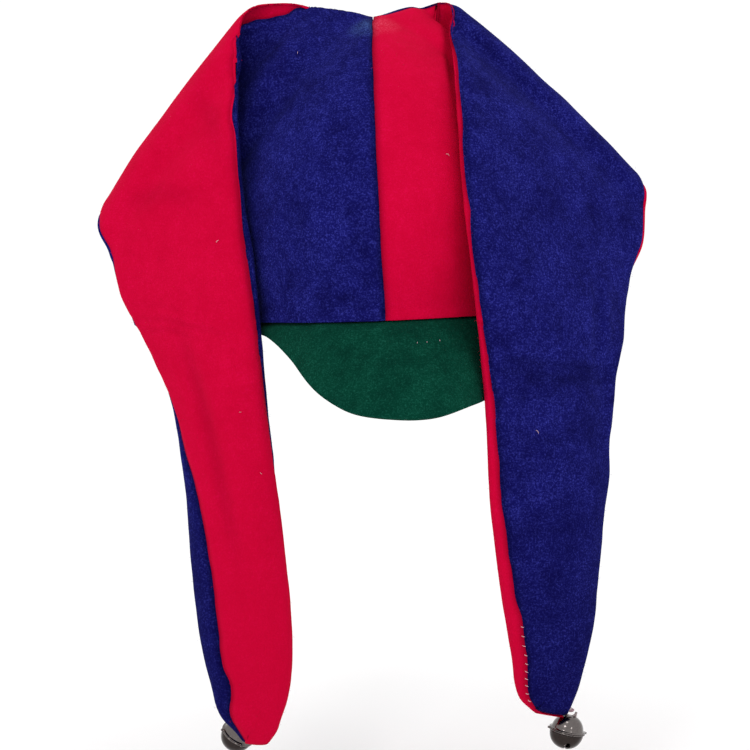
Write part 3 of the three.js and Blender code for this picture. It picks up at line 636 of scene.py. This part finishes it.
feltFinish = {
    "roughness": 0.95, "specular": 0.03, "sheen": 0.02, "sheenRoughness": 0.5,
    "mottle": 48, "cloud": 150, "fleck": 950, "dim": (-0.03, -0.2),
    "fibreLong": 260, "fibreFine": 2100,
    # the pale patch by the top seam is a painted highlight, where the worn, flattened felt faces the light
    "wornSheenAt": (0.0, -0.022, 0.168), "wornSheenRadius": 0.017,
    "bumpDepth": 0.00035, "bumpStrength": 0.75,
}


class Graph:
    # short words for building a material's nodes
    def __init__(self, name):
        self.material = bpy.data.materials.new(name)
        self.material.use_nodes = True
        self.tree = self.material.node_tree
        self.shader = self.tree.nodes["Principled BSDF"]
        self.place = self.add("TexCoord").outputs["Object"]

    def add(self, kind, **settings):
        node = self.tree.nodes.new("ShaderNode" + kind)
        for key, value in settings.items():
            setattr(node, key, value)
        return node

    def join(self, source, target):
        self.tree.links.new(source, target)

    def fix(self, **values):
        for key, value in values.items():
            self.shader.inputs[key.replace("_", " ")].default_value = value

    def noise(self, scale, detail=2.0, vector=None, roughness=0.5):
        node = self.add("TexNoise")
        node.inputs["Scale"].default_value = scale
        node.inputs["Detail"].default_value = detail
        node.inputs["Roughness"].default_value = roughness
        self.join(vector or self.place, node.inputs["Vector"])
        return node.outputs["Fac"]

    def mapped(self, turn, stretch):
        node = self.add("Mapping")
        node.inputs["Rotation"].default_value = turn
        node.inputs["Scale"].default_value = stretch
        self.join(self.place, node.inputs["Vector"])
        return node.outputs["Vector"]

    def between(self, value, low, high):
        node = self.add("MapRange")
        node.inputs["From Min"].default_value = low
        node.inputs["From Max"].default_value = high
        self.join(value, node.inputs["Value"])
        return node.outputs["Result"]

    def math(self, operation, first, second):
        node = self.add("Math", operation=operation)
        for socket, value in zip(node.inputs, (first, second)):
            if isinstance(value, (int, float)):
                socket.default_value = value
            else:
                self.join(value, socket)
        return node.outputs[0]

    def mix(self, share, first, second):
        node = self.add("Mix", data_type="RGBA")
        for socket, value in ((node.inputs[0], share), (node.inputs[6], first), (node.inputs[7], second)):
            if isinstance(value, (int, float, tuple)):
                socket.default_value = value
            else:
                self.join(value, socket)
        return node.outputs[2]

    def bump(self, height, distance, strength):
        node = self.add("Bump")
        node.inputs["Distance"].default_value = distance
        node.inputs["Strength"].default_value = strength
        self.join(height, node.inputs["Height"])
        self.join(node.outputs["Normal"], self.shader.inputs["Normal"])


def feltMaterial(name, colours):
    finish = feltFinish
    graph = Graph(name + "_felt_cloth")
    graph.fix(Roughness=finish["roughness"], Specular_IOR_Level=finish["specular"],
              Sheen_Weight=finish["sheen"], Sheen_Roughness=finish["sheenRoughness"],
              Sheen_Tint=colours["sheen"])
    mottle = graph.noise(finish["mottle"], 3.0)
    cloud = graph.noise(finish["cloud"], 3.0, roughness=0.6)
    ground = graph.math("ADD", graph.math("MULTIPLY", mottle, 0.6), graph.math("MULTIPLY", cloud, 0.4))
    colour = graph.mix(graph.between(ground, 0.3, 0.66), colours["deep"], colours["base"])
    split = graph.add("SeparateXYZ")
    graph.join(graph.place, split.inputs[0])
    low = graph.between(split.outputs["Z"], *finish["dim"])  # the horns' lower ends are a little darker
    colour = graph.mix(graph.math("MULTIPLY", low, 0.7), colour, colours["shade"])
    long, fine = finish["fibreLong"], finish["fibreFine"]
    strands = None
    for turn, stretch in (((0, 0, 0), (long, long, fine)), ((0, 0.9, 0.3), (fine, long, long)),
                          ((0.2, -0.75, 0), (long, long, fine))):
        strand = graph.noise(1.0, 2.0, graph.mapped(turn, stretch))
        strands = strand if strands is None else graph.math("MAXIMUM", strands, strand)
    fleck = graph.noise(finish["fleck"], 3.0, roughness=0.65)
    loose = graph.math("MULTIPLY", graph.between(strands, 0.6, 0.8), graph.between(cloud, 0.35, 0.6))
    light = graph.math("MAXIMUM", loose, graph.between(fleck, 0.5, 0.7))
    light = graph.math("MULTIPLY", light, graph.between(ground, 0.2, 0.68))
    light = graph.math("MULTIPLY", light, graph.math("SUBTRACT", 1.0, graph.math("MULTIPLY", low, 0.45)))
    colour = graph.mix(light, colour, colours["fibre"])
    # painted highlight: the worn felt by the top seam is made paler where it faces the light
    wornSheen = graph.add("VectorMath", operation="DISTANCE")
    graph.join(graph.place, wornSheen.inputs[0])
    wornSheen.inputs[1].default_value = finish["wornSheenAt"]
    wornSheenPatch = graph.between(wornSheen.outputs["Value"], finish["wornSheenRadius"], finish["wornSheenRadius"] * 0.2)
    wornSheenPatch = graph.math("MULTIPLY", wornSheenPatch, graph.between(fleck, 0.4, 0.65))
    colour = graph.mix(graph.math("MULTIPLY", wornSheenPatch, 0.85), colour, colours["wornSheen"])
    # painted shade along the seams and in the folds, mixed towards a very dark copy of the deep colour
    creaseShade = graph.add("Attribute", attribute_name="creaseShade")
    dark = tuple(value * 0.35 for value in colours["deep"][:3]) + (1,)
    colour = graph.mix(graph.math("MULTIPLY", creaseShade.outputs["Fac"], 0.6), colour, dark)
    graph.join(colour, graph.shader.inputs["Base Color"])
    nap = graph.math("ADD", graph.math("MULTIPLY", fleck, 0.6), graph.math("MULTIPLY", strands, 0.5))
    nap = graph.math("ADD", nap, graph.math("MULTIPLY", cloud, 0.7))
    graph.bump(nap, finish["bumpDepth"], finish["bumpStrength"])
    return graph.material


feltMaterials = {name: feltMaterial(name, colours) for name, colours in feltColours.items()}
feltPieces, feltFacts = makeFelts()


def metalMaterial(name, colour, roughness):
    graph = Graph(name)
    graph.fix(Metallic=1.0)
    smear = graph.noise(900, 3.0)
    low = tuple(value * 0.6 for value in colour[:3]) + (1,)
    graph.join(graph.mix(smear, low, colour), graph.shader.inputs["Base Color"])
    rough = graph.math("ADD", graph.math("MULTIPLY", smear, 0.12), roughness)
    graph.join(rough, graph.shader.inputs["Roughness"])
    return graph.material


# The bell's one metal in two copies, lit and shaded: the cap's paler colour is a painted highlight, the
# cup's near-black colour a painted dark reflection
capNickelLit = metalMaterial("bell_cap_nickel_painted_highlight", (0.17, 0.15, 0.145, 1), 0.1)
cupNickelShaded = metalMaterial("bell_cup_nickel_painted_dark_reflection", (0.045, 0.036, 0.034, 1), 0.14)
dullWire = metalMaterial("dull_loop_wire", (0.36, 0.3, 0.3, 1), 0.38)


def threadMaterial(name, grain, dark, light, roughness, specular, detail=2.0, relief=0):
    graph = Graph(name)
    twist = graph.noise(grain, detail)
    graph.join(graph.mix(twist, dark, light), graph.shader.inputs["Base Color"])
    graph.fix(Roughness=roughness, Specular_IOR_Level=specular)
    if relief:
        graph.bump(twist, relief, 0.5)
    return graph.material


sewingThread = threadMaterial("sewing_thread", 3200, (0.2, 0.09, 0.12, 1), (0.5, 0.34, 0.38, 1), 0.7, 0.2,
                              relief=0.0001)
paleThread = threadMaterial("pale_thread", 3600, (0.42, 0.2, 0.26, 1), (0.8, 0.62, 0.66, 1), 0.75, 0.15)
looseFibres = {name: threadMaterial(name + "_loose_fibre", 2400, colours["base"], colours["fibre"], 0.8, 0.1,
                                    detail=1.0) for name, colours in feltColours.items()}

# Bells, measured from the middle of each, with its loop upwards
bellPlaces = {
    "left": {"centre": (-97.28, -35.62, -246.21), "upward": (0.5063, -0.2949, 0.8103), "spin": 20},
    "right": {"centre": (94.18, -100.67, -233.85), "upward": (0.2419, 0.0, 0.9703), "spin": 8},
}
bellShape = {
    "radius": 9.7, "fullness": 0.84, "wall": 0.7, "gap": 0.15, "turns": 64, "rows": 12,
    "rim": 10.45, "rimHeight": 1.75, "lip": 0.35, "earReach": 1.2, "earTip": 0.35, "neck": 9.35,
    "edge": 0.14,
}
slotShape = {"width": 1.8, "reach": 7.0, "hole": 1.8, "below": -2.9}
loopShape = {"wire": 0.65, "half": 3.0, "foot": 9.0, "shoulder": 12.0, "flatten": 0.67, "steps": 14}
pelletShape = {"radius": 3.0, "height": -5.65}
threadShape = {"thick": 0.24, "half": 1.15, "over": 1.3, "from": (0, 0, 12.9),
               "at": (-0.75, -0.25, 0.25, 0.7), "lean": (-9, 6, -3, 10)}


def seeded(name):
    # a single corner to draw a section from
    dropSelection()
    bpy.ops.mesh.primitive_plane_add(size=mm)
    piece = bpy.context.active_object
    piece.name = piece.data.name = name
    enter("EDIT")
    bpy.ops.mesh.select_mode(type="VERT")
    pickAll()
    bpy.ops.mesh.merge(type="CENTER")
    pickAll()
    return piece


def turned(name, section, turns):
    # a shell turned about Z from a section drawn point by point
    piece = seeded(name)
    here = Vector((0, 0, 0))
    for index, (out, high) in enumerate(section):
        there = Vector((out, 0, high)) * mm
        if index:
            bpy.ops.mesh.extrude_verts_indiv()
        bpy.ops.transform.translate(value=there - here)
        here = there
    pickAll()
    bpy.ops.mesh.spin(steps=turns, angle=2 * math.pi, center=(0, 0, 0), axis=(0, 0, 1))
    closeUp()
    return piece


def pick(piece, test):
    # selects the faces whose middle and outward direction pass the test, and goes on to edit them
    nothingPicked(piece, "FACE")
    for face in piece.data.polygons:
        face.select = bool(test(face.center / mm, face.normal))
    enter("EDIT")


def shellSection(shape):
    # outer side from the pole down to the edge, as heights above the middle
    rows, radius = shape["rows"], shape["radius"]
    section = []
    for row in range(rows + 1):
        turn = 0.5 * math.pi * row / rows
        section.append((radius * math.sin(turn) ** shape["fullness"], radius * math.cos(turn)))
    within = 1 - shape["wall"] / radius
    inner = [(out * within, high * within) for out, high in section]
    section = [(out, max(high, shape["gap"])) for out, high in section]
    inner = [(out, max(high, shape["gap"])) for out, high in inner]
    return section, inner[::-1]


def makeCap(name):
    shape = bellShape
    outer, inner = shellSection(shape)
    rim, lip, gap, top = shape["rim"], shape["lip"], shape["gap"], shape["rimHeight"]
    dome = [(out * shape["neck"] / shape["radius"], high) for out, high in outer if high > top + 0.4]
    middle = 0.5 * (top + gap)
    crimp = [(shape["neck"], top + 0.2), (rim - lip - 0.2, top + 0.05), (rim - 0.08, top - lip * 0.6),
             (rim, top - lip), (rim - 0.1, top - lip - 0.2), (rim - 0.5, middle),
             (rim - 0.1, gap + lip + 0.2), (rim, gap + lip), (rim - 0.12, gap + 0.12), (rim - 0.4, gap)]
    cap = turned(name, dome + crimp + [point for point in inner if point[1] >= gap], shape["turns"])
    for quarter in range(4):
        side = Vector((math.cos(quarter * math.pi / 2), math.sin(quarter * math.pi / 2), 0))
        pick(cap, lambda middle, out: Vector((middle.x, middle.y, 0)).normalized().dot(side) > 0.992
             and Vector((middle.x, middle.y, 0)).length > rim - 0.6 and out.dot(side) > 0.5)
        bpy.ops.mesh.extrude_region_move(
            TRANSFORM_OT_translate={"value": side * shape["earReach"] * mm})
        narrowed = [1 if share ** 2 > 0.5 else shape["earTip"] for share in side.xy]
        bpy.ops.transform.resize(
            value=(*narrowed, 0.7),
            center_override=side * (rim + shape["earReach"]) * mm + Vector((0, 0, middle * mm)))
        enter("OBJECT")
    return cap


def cutAway(piece, cutter):
    applied(piece, "BOOLEAN", operation="DIFFERENCE", object=cutter, solver="EXACT")
    takeUp(cutter)
    bpy.ops.object.delete()


def makeCup(name):
    outer, inner = shellSection(bellShape)
    cup = turned(name, [(out, -high) for out, high in outer + inner], bellShape["turns"])
    slot = slotShape
    dropSelection()
    bpy.ops.mesh.primitive_cube_add(size=1, location=(0, 0, (slot["below"] - 10) * mm))
    bpy.ops.transform.resize(value=(slot["width"] * mm, 2 * slot["reach"] * mm, 20 * mm))
    cutAway(cup, bpy.context.active_object)
    for end in (-1, 1):
        dropSelection()
        bpy.ops.mesh.primitive_cylinder_add(
            vertices=24, radius=slot["hole"] * mm, depth=20 * mm,
            location=(0, end * slot["reach"] * mm, (slot["below"] - 10) * mm))
        cutAway(cup, bpy.context.active_object)
    return cup


def makeLoop(name):
    shape = loopShape
    dropSelection()
    bpy.ops.mesh.primitive_circle_add(
        vertices=10, radius=shape["wire"] * mm, fill_type="NGON",
        location=(-shape["half"] * mm, 0, shape["foot"] * mm))
    piece = begun(name)
    enter("EDIT")
    pickAll()
    rise = (shape["shoulder"] - shape["foot"]) * mm
    bpy.ops.mesh.extrude_region_move(TRANSFORM_OT_translate={"value": (0, 0, rise)})
    bpy.ops.mesh.spin(steps=shape["steps"], angle=math.pi, center=(0, 0, shape["shoulder"] * mm),
                      axis=(0, 1, 0))
    bpy.ops.mesh.extrude_region_move(TRANSFORM_OT_translate={"value": (0, 0, -rise)})
    enter("OBJECT")
    pick(piece, lambda middle, out: middle.z > shape["shoulder"] + 0.01)
    bpy.ops.transform.resize(value=(1, 1, shape["flatten"]),
                             center_override=(0, 0, shape["shoulder"] * mm))
    closeUp()
    return piece


def makePellet(name):
    # a rough cast ball with the band where its mould parted
    shape = pelletShape
    dropSelection()
    bpy.ops.mesh.primitive_uv_sphere_add(
        segments=24, ring_count=16, radius=shape["radius"] * mm, location=(0, 0, shape["height"] * mm))
    piece = begun(name)
    pick(piece, lambda middle, out: abs(middle.z - shape["height"]) < 0.5)
    bpy.ops.mesh.inset(thickness=0.12 * mm, depth=0.06 * mm)
    enter("OBJECT")
    return piece


def placeOfBell(side):
    place = bellPlaces[side]
    upright = Vector((0, 0, 1)).rotation_difference(Vector(place["upward"])).to_matrix().to_4x4()
    spin = Matrix.Rotation(math.radians(place["spin"]), 4, "Z")
    return Matrix.Translation(Vector(place["centre"]) * mm) @ upright @ spin


def makeThread(name, side):
    # a few turns of sewing thread round the loop and through the nearest felt of the horn's tip
    shape = threadShape
    start = placeOfBell(side) @ (Vector(shape["from"]) * mm)
    felt = np.concatenate([pointsOf(piece.data) for piece in feltPieces.values()])
    end = Vector(felt[np.linalg.norm(felt - np.array(start), axis=1).argmin()])
    back = placeOfBell(side).inverted()
    start, end = back @ start, back @ end
    reach = (end - start).length / 2 + shape["over"] * mm
    dropSelection()
    bpy.ops.mesh.primitive_circle_add(
        vertices=8, radius=shape["thick"] * mm, location=(0, shape["half"] * mm, 0))
    turn = begun("turn_of_thread")
    enter("EDIT")
    bpy.ops.mesh.select_mode(type="VERT")
    pickAll()
    bpy.ops.mesh.spin(steps=24, angle=2 * math.pi, center=(0, 0, 0), axis=(1, 0, 0))
    pickAll()
    bpy.ops.mesh.remove_doubles(threshold=0.004 * mm)
    bpy.ops.transform.resize(value=(1, 1, reach / (shape["half"] * mm)), center_override=(0, 0, 0))
    bpy.ops.mesh.normals_make_consistent(inside=False)
    enter("OBJECT")
    aim = Vector((0, 0, 1)).rotation_difference(end - start).to_matrix().to_4x4()
    middle = Matrix.Translation((start + end) / 2)
    turns = []
    for at, lean in zip(shape["at"], shape["lean"]):
        copy = turn.copy()
        copy.data = turn.data.copy()
        bpy.context.scene.collection.objects.link(copy)
        tilt = Matrix.Rotation(math.radians(lean), 4, "Y")
        copy.data.transform(middle @ aim @ Matrix.Translation((at * mm, 0, 0)) @ tilt)
        turns.append(copy)
    takeUp(turn)
    bpy.ops.object.delete()
    takeUp(turns[0])
    for other in turns:
        other.select_set(True)
    bpy.ops.object.join()
    turns[0].name = turns[0].data.name = name
    return turns[0]


def makeBell(side):
    # the cap and the cup take the lit and the shaded copy of one metal: painted highlight and painted dark
    # reflection
    kinds = {"cap": (makeCap, "bell_metal", capNickelLit), "cup": (makeCup, "bell_metal", cupNickelShaded),
             "loop": (makeLoop, "loop_wire", dullWire), "pellet": (makePellet, "pellet_iron", dullWire),
             "thread": (lambda name: makeThread(name, side), "red_felt", sewingThread)}
    for kind, (make, slot, finish) in kinds.items():
        piece = make("bell_" + kind + "_of_" + side + "_horn")
        if kind in ("cap", "cup"):
            applied(piece, "BEVEL", width=bellShape["edge"] * mm, segments=2, limit_method="ANGLE",
                    angle_limit=math.radians(42), use_clamp_overlap=True)
        takeUp(piece)
        bpy.ops.object.shade_smooth_by_angle(angle=math.radians(38))
        piece.data.transform(placeOfBell(side))
        piece.data.update()
        fitted(piece, finish, None if kind == "thread" else "bell_" + side + "_" + kind)
    print("stage: bell of", side, "horn")


for side in bellPlaces:
    makeBell(side)


# Small threads: stitches that show in a seam, lint, and loose fibres that stand off the felt
stitchRows = [
    {"panel": "panel_back_right", "x": (55, 80), "y": (-130, -95), "z": (-212, -166), "pitch": 4.0},
]
stitchShape = {"thick": 0.17, "radius": 0.95, "sweep": 150, "proud": 0.75}
spareStitches = [(19, -5.5), (24, -5.3), (31, -5.0)]  # at the end of the peak's seam, as x and z
lintShape = {"thick": 0.12, "radius": 0.9, "sweep": 190}
lintAt = [(-86, -47), (-72, -84), (-46, 158), (-96, 52), (40, 96), (84, -60)]
fuzzShape = {"thick": 0.035, "radius": 1.1, "sweep": 85, "each": 2600, "longest": 1.25, "shortest": 0.5}


def makeArch(name, shape, sides, steps):
    # a short bowed thread that stands on its two ends
    dropSelection()
    bpy.ops.mesh.primitive_circle_add(
        vertices=sides, radius=shape["thick"] * mm, fill_type="NGON", location=(shape["radius"] * mm, 0, 0))
    piece = begun(name)
    enter("EDIT")
    bpy.ops.mesh.select_mode(type="VERT")
    pickAll()
    bpy.ops.mesh.spin(steps=steps, angle=math.radians(shape["sweep"]), center=(0, 0, 0), axis=(0, -1, 0))
    pickAll()
    bpy.ops.transform.rotate(value=math.radians(90 - shape["sweep"] / 2), orient_axis="Y",
                             center_override=(0, 0, 0))
    bpy.ops.mesh.normals_make_consistent(inside=False)
    enter("OBJECT")
    heights = pointsOf(piece.data)
    side = 1 if heights[:, 2].mean() > 0 else -1
    putPoints(piece.data, heights * (1, side, side) - (0, 0, (heights[:, 2] * side).min()))
    return piece


def repeated(name, model, places):
    # copies of one small shape, gathered in one piece
    points = pointsOf(model.data)
    faces = [list(face.vertices) for face in model.data.polygons]
    corners, loops = [], []
    for count, place in enumerate(places):
        matrix = np.array(place)
        corners.append(points @ matrix[:3, :3].T + matrix[:3, 3])
        loops += [[corner + count * len(points) for corner in face] for face in faces]
    mesh = bpy.data.meshes.new(name)
    mesh.from_pydata(np.concatenate(corners).tolist(), [], loops)
    piece = bpy.data.objects.new(name, mesh)
    bpy.context.scene.collection.objects.link(piece)
    takeUp(model)
    bpy.ops.object.delete()
    takeUp(piece)
    bpy.ops.object.shade_smooth()
    return piece


def standing(place, outward, along, size=1.0):
    # a matrix that puts a shape on the felt, its Z outwards and its X along
    outward = Vector(outward).normalized()
    across = outward.cross(Vector(along)).normalized()
    axes = Matrix((across.cross(outward), across, outward)).transposed().to_4x4()
    return Matrix.Translation(place) @ axes @ Matrix.Diagonal((size, size, size, 1))


def frontmost(x, z, reach=2.5):
    # the felt's place nearest the camera at this x and z
    best = None
    for facts in feltFacts.values():
        places = facts["worked"]
        near = np.nonzero((np.abs(places[:, 0] - x * mm) < reach * mm)
                          & (np.abs(places[:, 2] - z * mm) < reach * mm))[0]
        for index in near:
            if best is None or places[index, 1] < best[0][1]:
                best = (places[index], facts["normals"][index])
    return best


def makeStitches():
    toCamera = Vector((0, -1, 0))
    places = []
    for row in stitchRows:
        facts = feltFacts[row["panel"]]
        seam = facts["worked"] / mm
        inRow = facts["isSeam"].copy()
        for axis, key in enumerate("xyz"):
            inRow &= (seam[:, axis] > row[key][0]) & (seam[:, axis] < row[key][1])
        line, outward = facts["worked"][inRow], facts["normals"][inRow]
        order = line[:, 2].argsort()
        last = None
        for index in order:
            place = Vector(line[index])
            if last is None or (place - last).length > row["pitch"] * mm:
                side = (Vector(outward[index]) * 0.5 + toCamera).normalized()
                run = (place - last) if last else Vector((0, 0, 1))
                lean = side.cross(run) + run * 0.35
                places.append(standing(place + side * stitchShape["proud"] * mm, side, lean))
                last = place
    for x, z in spareStitches:
        place, outward = frontmost(x, z)
        places.append(standing(Vector(place), outward, (0.3, 0, 1), 0.7))
    piece = repeated("seam_stitches", makeArch("stitch", stitchShape, 6, 6), places)
    fitted(piece, paleThread)


def makeLint():
    places = []
    for index, (x, z) in enumerate(lintAt):
        place, outward = frontmost(x, z)
        places.append(standing(Vector(place), outward, (math.cos(index * 2.3), 0.1, math.sin(index * 2.3)),
                               0.7 + 0.1 * index))
    piece = repeated("lint_specks", makeArch("lint", lintShape, 5, 6), places)
    fitted(piece, paleThread)


def makeFuzz(nodeName, seed):
    # loose fibres of the felt itself, thickest where it is folded
    facts = feltFacts[nodeName]
    chance = np.random.default_rng(seed)
    corners = facts["worked"][facts["number"][facts["outerFaces"]]]
    spread = np.linalg.norm(np.cross(corners[:, 2] - corners[:, 0], corners[:, 3] - corners[:, 1]), axis=1)
    count = fuzzShape["each"] // (4 if nodeName == "peak" else 1)
    chosen = chance.choice(len(spread), count, p=spread / spread.sum())
    outwards = facts["normals"][facts["number"][facts["outerFaces"]]].mean(axis=1)
    places = []
    for index in chosen:
        share = chance.dirichlet((1, 1, 1, 1))
        place = Vector(share @ corners[index])
        outward = Vector(outwards[index]) + 0.6 * Vector(chance.normal(size=3))
        size = chance.uniform(fuzzShape["shortest"], fuzzShape["longest"])
        places.append(standing(place, outward, chance.normal(size=3), size))
    piece = repeated("fuzz_" + nodeName, makeArch("fibre", fuzzShape, 3, 3), places)
    felt = feltPanels[nodeName]["felt"]
    fitted(piece, looseFibres[felt])


makeStitches()
makeLint()
for seed, nodeName in enumerate(feltPanels, start=21):
    makeFuzz(nodeName, seed)
print("stage: small threads")


# Floor and light
room = {"floor": -0.29, "size": 80.0, "sky": 1.07, "tone": 0.97}
lamps = {
    "key": {"place": (-0.5, -1.5, 1.1), "aim": (0, 0, 0), "size": 0.3, "power": 3.5},
    "side": {"place": (0.9, -1.4, 0.5), "aim": (0, 0, -0.1), "size": 0.2, "power": 1.2},
    "top": {"place": (0.1, -0.7, 1.6), "aim": (0, 0, 0), "size": 0.35, "power": 2.0},
}


def makeRoom():
    dropSelection()
    bpy.ops.mesh.primitive_plane_add(size=room["size"], location=(0, 0, room["floor"]))
    floor = bpy.context.active_object
    floor.name = "floor"
    graph = Graph("pale_floor")
    graph.fix(Base_Color=(room["tone"],) * 3 + (1,), Roughness=1.0, Specular_IOR_Level=0.0)
    dress(floor, graph.material)
    world = bpy.data.worlds.new("studio")
    world.use_nodes = True
    sky = world.node_tree.nodes["Background"]
    sky.inputs["Color"].default_value = (1, 1, 1, 1)
    sky.inputs["Strength"].default_value = room["sky"]
    bpy.context.scene.world = world


def areaLight(name, place, aim, size, power):
    data = bpy.data.lights.new(name, "AREA")
    data.size = size
    data.energy = power
    lamp = bpy.data.objects.new(name, data)
    bpy.context.scene.collection.objects.link(lamp)
    lamp.location = place
    lamp.rotation_euler = (Vector(aim) - Vector(place)).to_track_quat("-Z", "Y").to_euler()


makeRoom()
for name, lamp in lamps.items():
    areaLight(name, **lamp)
print("stage: room")
